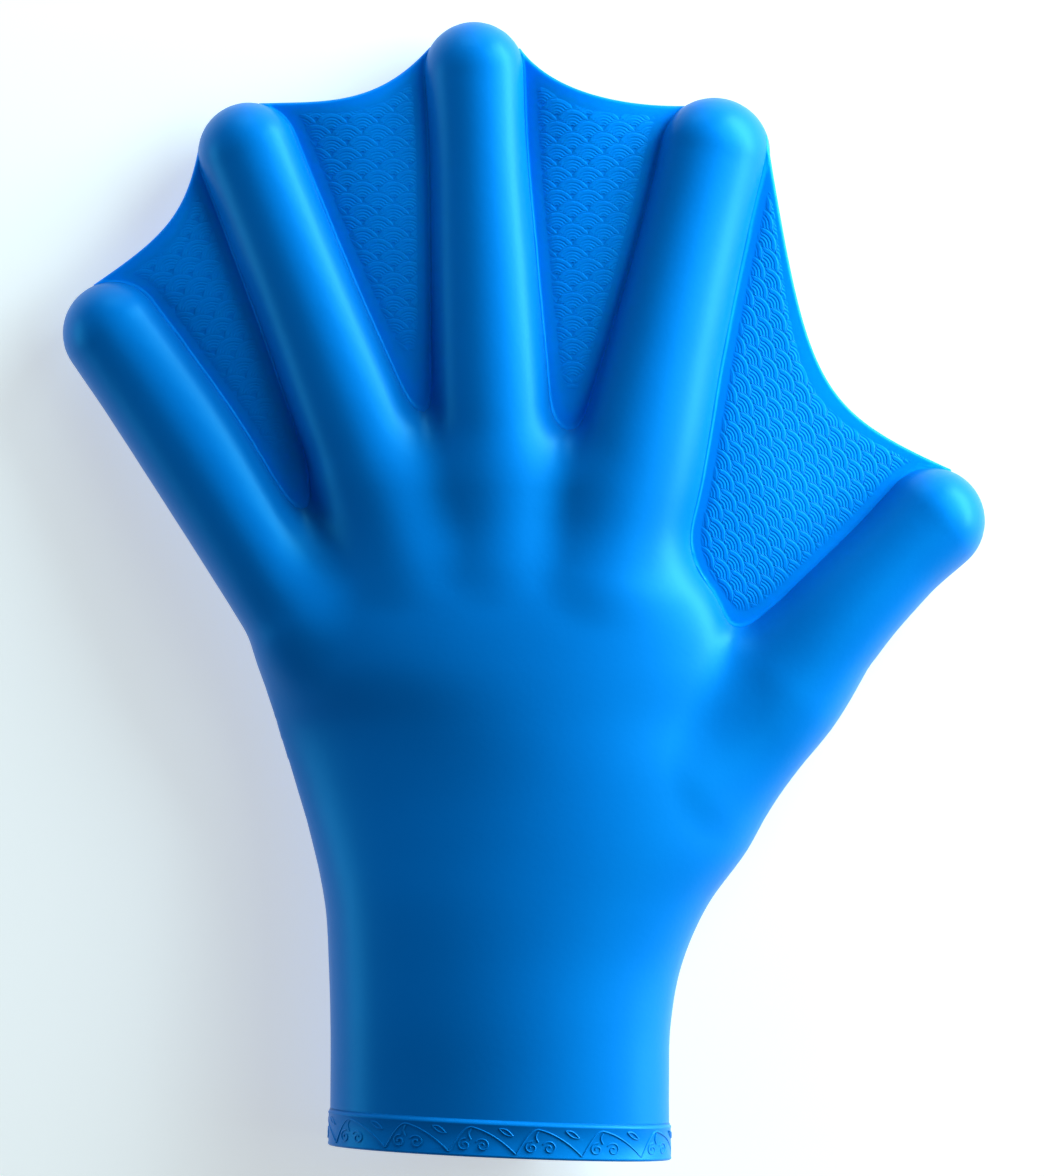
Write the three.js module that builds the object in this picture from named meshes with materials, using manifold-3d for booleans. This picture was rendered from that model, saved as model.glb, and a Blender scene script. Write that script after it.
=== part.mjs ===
// A webbed swim glove for the left hand, moulded in silicone: a hollow sleeve and palm with five finger
// stalls, four webs between the stalls and a raised band round the open end of the sleeve.
// It lies palm down. Millimetres, +Z up, +Y towards the fingertips, +X towards the thumb.
import * as THREE from "three";
import { mergeVertices } from "three/addons/utils/BufferGeometryUtils.js";
import Module from "manifold-3d";

// Driving sizes of the sleeve and palm
const CUFF_WIDTH = 73.7;
const CUFF_HEIGHT = 43;
const CUFF_LENGTH = 54;
const CUFF_TILT = 2.5;
const PALM_WIDTH = 104;
const PALM_HEIGHT = 34;
const PALM_LENGTH = 101;
const PALM_ROUND = 15;

// Driving sizes of the finger stalls
const FINGER_REACH = 80;
const THUMB_REACH = 58;
const STALL_WIDTH = 22;
const STALL_HEIGHT = 21;
const THUMB_WIDTH = 23;
const KNUCKLE_RISE = 18.5;

// Driving sizes of the walls, webs and band
const WALL = 1.8;
const WEB_THICKNESS = 1.5;
const WEB_BULGE = 3.5;
const BAND_WIDTH = 7.5;
const BAND_PROUD = 0.7;
const BLEND = 7;
const FIT_GAP = 0.3;

// Fineness of the faceted surfaces
const CELL = 6;
const WEB_STEPS = 9;
const NET_TRIES = 48;
const GOLDEN = 0.618;
const SETTLE_PASSES = 4;
const EVEN_PASSES = 3;
const EVEN_SHARE = 0.6;
const SLOPE_STEP = 0.02;

const SILICONE = { color: 0x0a6fd0, roughness: 0.42, metalness: 0 };
const WEB_SILICONE = { color: 0x0d7de0, roughness: 0.45, metalness: 0 };

// Sections of the sleeve: at is a share of CUFF_LENGTH from the open end, left and right are shares of
// CUFF_WIDTH from the glove's long axis, half is a share of CUFF_HEIGHT and lift the clearance below.
const CUFF_SECTIONS = [
  { at: -0.5, left: -0.571, right: 0.433, half: 0.5, lift: 0 },
  { at: 0.0, left: -0.57, right: 0.433, half: 0.5, lift: 0 },
  { at: 0.28, left: -0.568, right: 0.432, half: 0.5, lift: 0 },
  { at: 0.52, left: -0.568, right: 0.437, half: 0.5, lift: 0 },
  { at: 0.76, left: -0.573, right: 0.47, half: 0.5, lift: 0 },
];

// Sections of the palm: at is a share of PALM_LENGTH from the sleeve, left and right are shares of
// PALM_WIDTH, half and lift are shares of PALM_HEIGHT.
const PALM_SECTIONS = [
  { at: 0.0, left: -0.414, right: 0.388, half: 0.61, lift: 0.01 },
  { at: 0.13, left: -0.44, right: 0.478, half: 0.58, lift: 0.03 },
  { at: 0.26, left: -0.476, right: 0.525, half: 0.55, lift: 0.06 },
  { at: 0.39, left: -0.516, right: 0.49, half: 0.52, lift: 0.09 },
  { at: 0.52, left: -0.553, right: 0.42, half: 0.5, lift: 0.11 },
  { at: 0.65, left: -0.53, right: 0.37, half: 0.48, lift: 0.12 },
  { at: 0.78, left: -0.44, right: 0.35, half: 0.47, lift: 0.12 },
  { at: 0.89, left: -0.36, right: 0.31, half: 0.45, lift: 0.12 },
];

// Finger stalls: x and y place the knuckle, as shares of PALM_WIDTH from the long axis and of the length
// from the open end to the knuckle line. heading turns the stall clockwise from +Y, in degrees. reach is
// the length from knuckle to tip centre and root the length that runs on into the palm, as shares of
// the reach of its kind. The widths are shares of its kind's width, the rises shares of KNUCKLE_RISE.
const STALLS = {
  thumb: {
    kind: "thumb", x: 0.457, y: 0.623, heading: 45.6, reach: 1.01, root: 0.42,
    tip: 1.02, neck: 0.97, middle: 1.2, knuckle: 1.56, base: 1.6, rise: 0.93,
  },
  index: {
    kind: "finger", x: 0.238, y: 0.942, heading: 13.5, reach: 0.93, root: 0.4,
    tip: 1.07, neck: 1.07, middle: 1.14, knuckle: 1.38, base: 1.3, rise: 1,
  },
  middle: {
    kind: "finger", x: -0.063, y: 1.0, heading: -2.9, reach: 1.01, root: 0.4,
    tip: 1.01, neck: 1.0, middle: 1.1, knuckle: 1.3, base: 1.3, rise: 1.02,
  },
  ring: {
    kind: "finger", x: -0.333, y: 0.994, heading: -21.6, reach: 0.86, root: 0.4,
    tip: 1.01, neck: 1.02, middle: 1.06, knuckle: 1.26, base: 1.25, rise: 0.98,
  },
  little: {
    kind: "finger", x: -0.538, y: 0.853, heading: -35.7, reach: 0.715, root: 0.3,
    tip: 1.03, neck: 1.05, middle: 1.12, knuckle: 1.25, base: 1.35, rise: 0.93,
  },
};

// Stations along a stall: at is a share of its length from tip centre to knuckle, width the column of
// STALLS that holds its width there, and tall and rise how far its height and rise have gone from the
// tip's to the knuckle's.
const STALL_STATIONS = [
  { at: 0, width: "tip", tall: 0, rise: 0 },
  { at: 0.2, width: "neck", tall: 0.15, rise: 0.2 },
  { at: 0.55, width: "middle", tall: 0.5, rise: 0.6 },
  { at: 1, width: "knuckle", tall: 1, rise: 1 },
];

// The two kinds of stall: flat is the height of the knuckle as a share of its width.
const KINDS = {
  finger: { reach: FINGER_REACH, width: STALL_WIDTH, flat: 0.88 },
  thumb: { reach: THUMB_REACH, width: THUMB_WIDTH, flat: 0.82 },
};

// The end of a stall's root, hidden in the palm, as shares of its knuckle's height and rise.
const ROOT_END = { tall: 0.85, rise: 1.02 };

// Webs, each between two stalls. Its free edge is one curve from beside the first tip to beside the
// next: fromEnd and toEnd are those places, to the side of and ahead of each tip's centre, as shares of
// the tip's half width. leave and arrive are the angles, in degrees, between the edge and the line
// joining its ends, and leavePull and arrivePull how far each holds, as shares of that line. inset is
// how far the web starts inside the palm, as a share of each stall's reach. swell is the share of
// WEB_BULGE by which the web arches up, and crest the share of its width at which it is highest.
const WEBS = {
  web_thumb_index: {
    from: "index", to: "thumb", fromEnd: [0.8, 0.5], toEnd: [-0.4, 0.88], inset: 0.3,
    leave: 20, leavePull: 0.67, arrive: 37, arrivePull: 0.39, swell: 1.3, crest: 0.4,
  },
  web_index_middle: {
    from: "middle", to: "index", fromEnd: [0.87, 0.4], toEnd: [-0.64, 0.66], inset: 0.3,
    leave: 36, leavePull: 0.37, arrive: 22, arrivePull: 0.25, swell: 1.2, crest: 0.45,
  },
  web_middle_ring: {
    from: "ring", to: "middle", fromEnd: [0.53, 0.78], toEnd: [-0.8, 0.5], inset: 0.3,
    leave: 17, leavePull: 0.35, arrive: 31, arrivePull: 0.46, swell: 1, crest: 0.55,
  },
  web_ring_little: {
    from: "little", to: "ring", fromEnd: [0.21, 0.93], toEnd: [-0.81, 0.45], inset: 0.25,
    leave: 19, leavePull: 0.49, arrive: 27, arrivePull: 0.41, swell: 0.8, crest: 0.5,
  },
};

const radians = THREE.MathUtils.degToRad;
const clamp = THREE.MathUtils.clamp;
const lerp = THREE.MathUtils.lerp;

// A smooth curve through the rows of a table, level past its ends.
function follow(rows, column, at) {
  const last = rows.length - 1;
  if (at <= rows[0].at) return rows[0][column];
  if (at >= rows[last].at) return rows[last][column];
  const i = rows.findIndex((row) => row.at > at) - 1;
  const slope = (j) => {
    const before = rows[Math.max(j - 1, 0)];
    const after = rows[Math.min(j + 1, last)];
    return (after[column] - before[column]) / (after.at - before.at);
  };
  const span = rows[i + 1].at - rows[i].at;
  const t = (at - rows[i].at) / span;
  const rise = rows[i + 1][column] - rows[i][column];
  const leave = slope(i) * span;
  const arrive = slope(i + 1) * span;
  return rows[i][column] + t * leave + t * t * (3 * rise - 2 * leave - arrive)
    + t * t * t * (leave + arrive - 2 * rise);
}

// Two rounded forms joined with a fillet.
function blendUnion(a, b, fillet) {
  const overlap = Math.max(fillet - Math.abs(a - b), 0) / fillet;
  return Math.min(a, b) - (overlap * overlap * fillet) / 4;
}

// Distance from an ellipsoid about the origin, close to the true one near its surface.
function ellipsoidDistance(x, y, z, rx, ry, rz) {
  const near = Math.hypot(x / rx, y / ry, z / rz);
  const slope = Math.hypot(x / rx ** 2, y / ry ** 2, z / rz ** 2);
  return near < 1e-6 ? -Math.min(rx, ry, rz) : (near * (near - 1)) / slope;
}

const HAND_LENGTH = CUFF_LENGTH + PALM_LENGTH;

const bodySections = [
  ...CUFF_SECTIONS.map((row) => ({
    at: row.at * CUFF_LENGTH,
    left: row.left * CUFF_WIDTH,
    right: row.right * CUFF_WIDTH,
    half: row.half * CUFF_HEIGHT,
    lift: row.lift * CUFF_HEIGHT,
  })),
  ...PALM_SECTIONS.map((row) => ({
    at: CUFF_LENGTH + row.at * PALM_LENGTH,
    left: row.left * PALM_WIDTH,
    right: row.right * PALM_WIDTH,
    half: row.half * PALM_HEIGHT,
    lift: row.lift * PALM_HEIGHT,
  })),
];
const bodyStart = bodySections[0].at;
const bodyEnd = bodySections[bodySections.length - 1].at;

// The sleeve and palm, one long form with an oval section that changes along +Y.
function bodyDistance(x, y, z) {
  const at = clamp(y, bodyStart, bodyEnd);
  const left = follow(bodySections, "left", at);
  const right = follow(bodySections, "right", at);
  const half = follow(bodySections, "half", at);
  const lift = follow(bodySections, "lift", at);
  const middle = (left + right) / 2;
  return ellipsoidDistance(x - middle, y - at, z - lift - half, (right - left) / 2, PALM_ROUND, half);
}

function makeStall(row) {
  const kind = KINDS[row.kind];
  const halfWidth = kind.width / 2;
  const flatness = STALL_HEIGHT / STALL_WIDTH;
  const reach = row.reach * kind.reach;
  const heading = radians(row.heading);
  const out = { x: Math.sin(heading), y: Math.cos(heading) };
  const knuckle = { x: row.x * PALM_WIDTH, y: row.y * HAND_LENGTH };
  const tip = { x: knuckle.x + out.x * reach, y: knuckle.y + out.y * reach };
  const end = reach * (1 + row.root);
  const tipHeight = row.tip * halfWidth * flatness;
  const knuckleHeight = row.knuckle * halfWidth * flatness * kind.flat;
  const tipRise = tipHeight - BAND_PROUD;
  const knuckleRise = row.rise * KNUCKLE_RISE;
  const stations = STALL_STATIONS.map((station) => ({
    at: station.at * reach,
    half: row[station.width] * halfWidth,
    tall: lerp(tipHeight, knuckleHeight, station.tall),
    rise: lerp(tipRise, knuckleRise, station.rise),
  }));
  stations.push({
    at: end,
    half: row.base * halfWidth,
    tall: knuckleHeight * ROOT_END.tall,
    rise: knuckleRise * ROOT_END.rise,
  });
  return { tip, out, reach, end, stations };
}

const stalls = Object.fromEntries(Object.entries(STALLS).map(([name, row]) => [name, makeStall(row)]));

// One finger stall: a tapering round-ended form along a straight line seen from above, rising to the palm.
function stallDistance(stall, x, y, z) {
  const dx = x - stall.tip.x;
  const dy = y - stall.tip.y;
  const along = -(dx * stall.out.x + dy * stall.out.y);
  const across = dx * stall.out.y - dy * stall.out.x;
  const at = clamp(along, 0, stall.end);
  const half = follow(stall.stations, "half", at);
  const tall = follow(stall.stations, "tall", at);
  const rise = follow(stall.stations, "rise", at);
  return ellipsoidDistance(across, along - at, z - rise, half, half, tall);
}

function gloveDistance({ x, y, z }) {
  let distance = bodyDistance(x, y, z);
  for (const stall of Object.values(stalls)) {
    distance = blendUnion(distance, stallDistance(stall, x, y, z), BLEND);
  }
  return distance;
}

function gloveSlope(point) {
  const sides = ["x", "y", "z"].map((axis) => {
    const after = point.clone();
    const before = point.clone();
    after[axis] += SLOPE_STEP;
    before[axis] -= SLOPE_STEP;
    return (gloveDistance(after) - gloveDistance(before)) / (2 * SLOPE_STEP);
  });
  return new THREE.Vector3(...sides);
}

// Moves a point to a depth below the glove's surface and gives the outward direction there.
function settle(point, depth) {
  const slope = new THREE.Vector3();
  for (let pass = 0; pass < SETTLE_PASSES; pass += 1) {
    slope.copy(gloveSlope(point));
    point.addScaledVector(slope, -(gloveDistance(point) + depth) / slope.lengthSq());
  }
  return slope.normalize();
}

// The surface at a depth as a net of four-sided faces, with one point in each cell that it crosses.
function layNet(shift, depth) {
  const low = {
    x: -PALM_WIDTH * 1.05 - shift,
    y: bodyStart - PALM_ROUND - CELL - shift,
    z: -CELL - shift,
  };
  const high = { x: PALM_WIDTH * 1.05, y: HAND_LENGTH + FINGER_REACH * 1.25, z: CUFF_HEIGHT + CELL };
  const count = {
    x: Math.ceil((high.x - low.x) / CELL),
    y: Math.ceil((high.y - low.y) / CELL),
    z: Math.ceil((high.z - low.z) / CELL),
  };
  const key = (i, j, k) => i + (count.x + 1) * (j + (count.y + 1) * k);
  const corner = (i, j, k) => new THREE.Vector3(low.x + i * CELL, low.y + j * CELL, low.z + k * CELL);
  const field = new Float64Array((count.x + 1) * (count.y + 1) * (count.z + 1));
  for (let k = 0; k <= count.z; k += 1) {
    for (let j = 0; j <= count.y; j += 1) {
      for (let i = 0; i <= count.x; i += 1) {
        field[key(i, j, k)] = gloveDistance(corner(i, j, k)) + depth;
      }
    }
  }
  const steps = [[1, 0, 0], [0, 1, 0], [0, 0, 1]];
  const crossings = new Map();
  const faces = [];
  const touch = (i, j, k, point) => {
    const cell = key(i, j, k);
    const entry = crossings.get(cell) ?? { sum: new THREE.Vector3(), count: 0, index: crossings.size };
    entry.sum.add(point);
    entry.count += 1;
    crossings.set(cell, entry);
    return entry.index;
  };
  for (let k = 1; k < count.z; k += 1) {
    for (let j = 1; j < count.y; j += 1) {
      for (let i = 1; i < count.x; i += 1) {
        steps.forEach(([a, b, c], axis) => {
          const here = field[key(i, j, k)];
          const there = field[key(i + a, j + b, k + c)];
          if (here < 0 === there < 0) return;
          const point = corner(i, j, k).lerp(corner(i + a, j + b, k + c), here / (here - there));
          const [p, q, r] = steps[(axis + 1) % 3];
          const [u, v, w] = steps[(axis + 2) % 3];
          const ring = [
            touch(i, j, k, point),
            touch(i - p, j - q, k - r, point),
            touch(i - p - u, j - q - v, k - r - w, point),
            touch(i - u, j - v, k - w, point),
          ];
          faces.push(here < 0 ? ring : ring.reverse());
        });
      }
    }
  }
  const points = [...crossings.values()].map((entry) => entry.sum.divideScalar(entry.count));
  return { points, faces };
}

// Whether each edge of a net joins just two faces, so that no two sheets of it touch.
function isClean(faces) {
  const sides = new Map();
  for (const face of faces) {
    face.forEach((a, i) => {
      const b = face[(i + 1) % face.length];
      const side = `${Math.min(a, b)} ${Math.max(a, b)}`;
      sides.set(side, (sides.get(side) ?? 0) + 1);
    });
  }
  return [...sides.values()].every((count) => count === 2);
}

// The net is laid a little to one side where it would touch itself in a narrow fork between stalls.
function makeSkin(depth) {
  const shifts = Array.from({ length: NET_TRIES }, (_, i) => ((i * GOLDEN + 0.5) % 1) * CELL);
  const nets = shifts.values().map((shift) => layNet(shift, depth));
  const { points, faces } = nets.find((net) => isClean(net.faces)) ?? layNet(0, depth);
  evenOut(points, faces, depth);
  const normals = points.map((point) => settle(point, depth));
  return { points, normals, triangles: splitFaces(points, faces, depth) };
}

// Spreads the points of a net evenly over the surface.
function evenOut(points, faces, depth) {
  for (let pass = 0; pass < EVEN_PASSES; pass += 1) {
    const sums = points.map(() => new THREE.Vector3());
    const counts = points.map(() => 0);
    for (const face of faces) {
      face.forEach((a, i) => {
        const b = face[(i + 1) % face.length];
        sums[a].add(points[b]);
        sums[b].add(points[a]);
        counts[a] += 1;
        counts[b] += 1;
      });
    }
    points.forEach((point, i) => {
      point.lerp(sums[i].divideScalar(counts[i]), EVEN_SHARE);
      settle(point, depth);
    });
  }
}

// Splits each four-sided face along the diagonal that stays closer to the surface.
function splitFaces(points, faces, depth) {
  const off = (a, b) => {
    const middle = points[a].clone().add(points[b]).multiplyScalar(0.5);
    return Math.abs(gloveDistance(middle) + depth);
  };
  return faces.flatMap(([a, b, c, d]) => (off(a, c) < off(b, d) ? [a, b, c, a, c, d] : [a, b, d, b, c, d]));
}

const wasm = await Module();
wasm.setup();

function toSolid(points, triangles) {
  const mesh = new wasm.Mesh({
    numProp: 3,
    vertProperties: new Float32Array(points.flatMap((point) => [point.x, point.y, point.z])),
    triVerts: new Uint32Array(triangles),
  });
  return new wasm.Manifold(mesh);
}

function geometryToSolid(geometry) {
  const bare = geometry.clone();
  bare.deleteAttribute("normal");
  bare.deleteAttribute("uv");
  const merged = mergeVertices(bare);
  return new wasm.Manifold(new wasm.Mesh({
    numProp: 3,
    vertProperties: new Float32Array(merged.attributes.position.array),
    triVerts: new Uint32Array(merged.index.array),
  }));
}

function toGeometry(solid) {
  const mesh = solid.getMesh();
  const geometry = new THREE.BufferGeometry();
  geometry.setAttribute("position", new THREE.BufferAttribute(new Float32Array(mesh.vertProperties), 3));
  geometry.setIndex(new THREE.BufferAttribute(new Uint32Array(mesh.triVerts), 1));
  geometry.computeVertexNormals();
  return geometry;
}

const skin = makeSkin(0);
const lining = makeSkin(WALL);

// The form of the glove grown outwards by a distance.
function grownForm(distance) {
  const points = skin.points.map((point, i) => point.clone().addScaledVector(skin.normals[i], distance));
  return toSolid(points, skin.triangles);
}

// A block that takes in the sleeve between two distances from its tilted open end.
function sleeveBlock(start, end) {
  const wide = PALM_WIDTH * 2;
  const block = new THREE.BoxGeometry(wide, end - start, wide);
  block.translate(0, (start + end) / 2, CUFF_HEIGHT / 2);
  block.rotateZ(-radians(CUFF_TILT));
  return geometryToSolid(block);
}

const outer = grownForm(0);
const hollow = toSolid(lining.points, lining.triangles);
const clearForm = grownForm(FIT_GAP);
const bandForm = grownForm(BAND_PROUD);
const beyond = bodyStart - PALM_ROUND * 2;

function makeShell() {
  return outer.subtract(sleeveBlock(beyond, BAND_WIDTH + FIT_GAP)).subtract(hollow);
}

function makeBand() {
  return bandForm.intersect(sleeveBlock(0, BAND_WIDTH)).subtract(hollow);
}

// The point on a stall's centre line at a distance from its tip centre.
function onStall(stall, at) {
  return new THREE.Vector3(
    stall.tip.x - stall.out.x * at,
    stall.tip.y - stall.out.y * at,
    follow(stall.stations, "rise", clamp(at, 0, stall.end)),
  );
}

// A point beside a stall's tip: side and ahead are shares of the tip's half width.
function besideTip(stall, [side, ahead]) {
  const half = stall.stations[0].half;
  const point = onStall(stall, -ahead * half);
  point.x += stall.out.y * side * half;
  point.y -= stall.out.x * side * half;
  return point;
}

// The middle surface of a web: u runs from one stall to the next, v from the palm to the free edge.
function webPoint(web, u, v) {
  const from = stalls[web.from];
  const to = stalls[web.to];
  const start = besideTip(from, web.fromEnd);
  const end = besideTip(to, web.toEnd);
  const chord = end.clone().sub(start);
  const turned = (angle, pull) => {
    const arm = new THREE.Vector3(chord.x, chord.y, 0).multiplyScalar(pull);
    return arm.applyAxisAngle(new THREE.Vector3(0, 0, 1), radians(angle));
  };
  const edge = new THREE.CubicBezierCurve3(
    start,
    start.clone().add(turned(-web.leave, web.leavePull)),
    end.clone().sub(turned(web.arrive, web.arrivePull)),
    end,
  ).getPoint(u);
  const left = onStall(from, from.reach * (1 + web.inset) * (1 - v));
  const right = onStall(to, to.reach * (1 + web.inset) * (1 - v));
  const leftEnd = onStall(from, 0);
  const rightEnd = onStall(to, 0);
  const across = left.clone().lerp(right, u);
  const edgeShift = edge.sub(leftEnd.lerp(rightEnd, u));
  const point = across.addScaledVector(edgeShift, v * v);
  const arch = Math.sin(Math.PI * u ** (Math.log(0.5) / Math.log(web.crest)));
  point.z += WEB_BULGE * web.swell * arch * Math.sin((Math.PI / 2) * v);
  return point;
}

function makeWeb(web) {
  const side = WEB_STEPS + 1;
  const points = [];
  for (const offset of [WEB_THICKNESS / 2, -WEB_THICKNESS / 2]) {
    for (let j = 0; j < side; j += 1) {
      for (let i = 0; i < side; i += 1) {
        const point = webPoint(web, i / WEB_STEPS, j / WEB_STEPS);
        point.z += offset;
        points.push(point);
      }
    }
  }
  const under = side * side;
  const triangles = [];
  const quad = (a, b, c, d) => triangles.push(a, b, c, a, c, d);
  for (let j = 0; j < WEB_STEPS; j += 1) {
    for (let i = 0; i < WEB_STEPS; i += 1) {
      const a = i + side * j;
      quad(a, a + 1, a + 1 + side, a + side);
      quad(a + under, a + side + under, a + 1 + side + under, a + 1 + under);
    }
  }
  const rim = [];
  for (let i = 0; i < WEB_STEPS; i += 1) rim.push(i);
  for (let j = 0; j < WEB_STEPS; j += 1) rim.push(side - 1 + side * j);
  for (let i = WEB_STEPS; i > 0; i -= 1) rim.push(i + side * WEB_STEPS);
  for (let j = WEB_STEPS; j > 0; j -= 1) rim.push(side * j);
  rim.forEach((a, i) => {
    const b = rim[(i + 1) % rim.length];
    quad(a, a + under, b + under, b);
  });
  return toSolid(points, triangles).subtract(clearForm).subtract(outer);
}

function makeMesh(name, solid, finish) {
  const mesh = new THREE.Mesh(toGeometry(solid), new THREE.MeshStandardMaterial(finish));
  mesh.name = name;
  return mesh;
}

const glove = new THREE.Group();
glove.name = "webbed_swim_glove";
glove.add(makeMesh("glove_shell", makeShell(), SILICONE));
for (const [name, web] of Object.entries(WEBS)) {
  glove.add(makeMesh(name, makeWeb(web), WEB_SILICONE));
}
glove.add(makeMesh("cuff_band", makeBand(), SILICONE));

// The origin is the middle of the glove's outline, on the surface that it lies on.
const extent = new THREE.Box3().setFromObject(glove);
const centre = extent.getCenter(new THREE.Vector3());
glove.position.set(-centre.x, -centre.y, -extent.min.z);
glove.updateMatrixWorld(true);

export default glove;
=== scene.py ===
"""A webbed swim glove for the left hand, moulded in blue silicone, lying palm down on a pale floor.

The sizes, outlines and places are those of the solids in the frame: an oval sleeve and palm with five
round-ended stalls joined to it, four arched webs between the stalls and a raised band at the open end.
The surface is finer here: the palm is domed, the finger roots have valleys between them and the base of
the thumb has a rounded form of its own, the heel. Lengths are in metres, +Y runs towards the
fingertips, +X towards the thumb and +Z up.
"""

import math
from contextlib import contextmanager

import bmesh
import bpy
import numpy as np
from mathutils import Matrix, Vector


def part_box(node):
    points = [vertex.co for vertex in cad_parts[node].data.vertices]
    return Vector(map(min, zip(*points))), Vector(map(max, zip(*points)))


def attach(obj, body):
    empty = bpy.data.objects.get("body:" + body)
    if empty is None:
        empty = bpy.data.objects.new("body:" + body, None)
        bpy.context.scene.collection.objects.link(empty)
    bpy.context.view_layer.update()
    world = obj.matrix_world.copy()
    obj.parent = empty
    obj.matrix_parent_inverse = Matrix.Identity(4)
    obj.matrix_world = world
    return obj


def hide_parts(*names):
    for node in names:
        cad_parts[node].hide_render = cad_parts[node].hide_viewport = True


bl_info = {
    "name": "Webbed Swim Glove",
    "version": (1, 0, 0),
    "blender": (4, 5, 0),
    "location": "View3D > Sidebar > Swim Glove",
    "description": "Builds a moulded silicone swim glove with relief webs, its floor and its lights",
    "category": "Add Mesh",
}

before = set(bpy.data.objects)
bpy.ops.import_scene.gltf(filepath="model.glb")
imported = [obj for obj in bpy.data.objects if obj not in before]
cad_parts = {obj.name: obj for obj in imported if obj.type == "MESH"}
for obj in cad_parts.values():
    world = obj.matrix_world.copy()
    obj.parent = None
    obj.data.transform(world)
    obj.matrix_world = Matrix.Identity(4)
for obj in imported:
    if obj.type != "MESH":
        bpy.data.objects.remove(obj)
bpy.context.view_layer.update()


def table(columns, *rows):
    """Rows of values under named columns"""
    return [dict(zip(columns.split(), row)) for row in rows]


# Sections of the sleeve: at is a share of the cuff's length from the open end, left and right are shares
# of its width from the long axis; lift, waist and top are shares of its height, for the underside, the
# widest level and the crown, and dome is the power of the crown's curve (2 is an ellipse).
CUFF_SECTIONS = table(
    "at left right lift waist top dome",
    (-0.5, -0.571, 0.433, 0.0, 0.5, 1.0, 2.0),
    (0.0, -0.57, 0.433, 0.0, 0.5, 1.0, 2.0),
    (0.28, -0.568, 0.432, 0.0, 0.5, 1.0, 2.0),
    (0.52, -0.568, 0.437, 0.0, 0.5, 1.0, 2.0),
    (0.76, -0.573, 0.47, 0.0, 0.49, 0.99, 1.95),
)

# Sections of the palm: at is a share of the palm's length from the sleeve, left and right are shares of
# its width, lift, waist and top shares of its height.
PALM_SECTIONS = table(
    "at left right lift waist top dome",
    (0.0, -0.414, 0.388, 0.01, 0.6, 1.235, 1.9),
    (0.13, -0.44, 0.478, 0.03, 0.55, 1.2, 1.7),
    (0.26, -0.476, 0.525, 0.06, 0.5, 1.16, 1.5),
    (0.39, -0.516, 0.51, 0.09, 0.48, 1.13, 1.4),
    (0.52, -0.545, 0.46, 0.11, 0.47, 1.1, 2.0),
    (0.65, -0.5, 0.415, 0.12, 0.47, 1.04, 2.3),
    (0.74, -0.475, 0.36, 0.13, 0.46, 0.96, 2.3),
    (0.82, -0.455, 0.31, 0.15, 0.44, 0.89, 2.3),
    (0.88, -0.44, 0.29, 0.16, 0.43, 0.865, 2.3),
)

# Finger stalls: x and y place the knuckle, as shares of the palm's width and of the length from the open
# end to the knuckle line. heading turns the stall clockwise from +Y, in degrees. reach and root are
# lengths ahead of the knuckle and into the palm, the widths and crest are shares of the kind's own width
# and rise a share of the knuckle's height. aside and aside_end shift the knuckle and the root end to the
# right, lean is the slant of the section. The heel is the base of the thumb.
STALLS = {
    "thumb": {
        "kind": "thumb", "x": 0.457, "y": 0.623, "heading": 45.6, "reach": 1.01, "root": 0.3,
        "aside": 0.3, "aside_end": 0.45, "lean": 0.0, "crest": 1.2,
        "tip": 1.02, "neck": 0.97, "middle": 1.05, "knuckle": 1.22, "base": 0.95, "rise": 0.93,
    },
    "heel": {
        "kind": "thumb", "x": 0.53, "y": 0.65, "heading": 40.0, "reach": 0.3, "root": 2.3,
        "aside": 0.0, "aside_end": 0.0, "lean": 0.0, "crest": 1.1,
        "tip": 0.8, "neck": 0.95, "middle": 1.08, "knuckle": 1.12, "base": 0.75, "rise": 0.72,
    },
    "index": {
        "kind": "finger", "x": 0.238, "y": 0.942, "heading": 13.5, "reach": 0.93, "root": 0.3,
        "aside": 0.0, "aside_end": 0.0, "lean": -0.25, "crest": 1.38,
        "tip": 1.07, "neck": 1.07, "middle": 1.14, "knuckle": 1.3, "base": 1.15, "rise": 1.0,
    },
    "middle": {
        "kind": "finger", "x": -0.063, "y": 1.0, "heading": -2.9, "reach": 1.01, "root": 0.33,
        "aside": 0.0, "aside_end": 0.0, "lean": 0.0, "crest": 1.3,
        "tip": 1.01, "neck": 1.0, "middle": 1.1, "knuckle": 1.2, "base": 1.1, "rise": 1.02,
    },
    "ring": {
        "kind": "finger", "x": -0.333, "y": 0.994, "heading": -21.6, "reach": 0.86, "root": 0.4,
        "aside": 0.0, "aside_end": 0.0, "lean": 0.0, "crest": 1.26,
        "tip": 1.01, "neck": 1.02, "middle": 1.06, "knuckle": 1.16, "base": 1.1, "rise": 0.98,
    },
    "little": {
        "kind": "finger", "x": -0.538, "y": 0.853, "heading": -35.7, "reach": 0.715, "root": 0.3,
        "aside": -0.2, "aside_end": -0.25, "lean": 0.0, "crest": 1.25,
        "tip": 1.03, "neck": 1.05, "middle": 1.08, "knuckle": 1.05, "base": 1.1, "rise": 0.93,
    },
}

# Stations along a stall from tip centre to knuckle: the column of STALLS that gives the width there, and
# how far the height, the rise and the shift aside have gone from the tip's to the knuckle's.
STALL_STATIONS = table(
    "at width tall rise aside",
    (0.0, "tip", 0.0, 0.0, 0.0),
    (0.2, "neck", 0.15, 0.2, 0.0),
    (0.55, "middle", 0.5, 0.6, 0.25),
    (1.0, "knuckle", 1.0, 1.0, 1.0),
)
# Share of the crest's height that the knuckle of each kind keeps, and the height and rise at the root end
# over those at the knuckle.
KNUCKLE_FLAT = {"finger": 0.88, "thumb": 0.82}
ROOT_END = {"tall": 0.97, "rise": 1.09}

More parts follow.
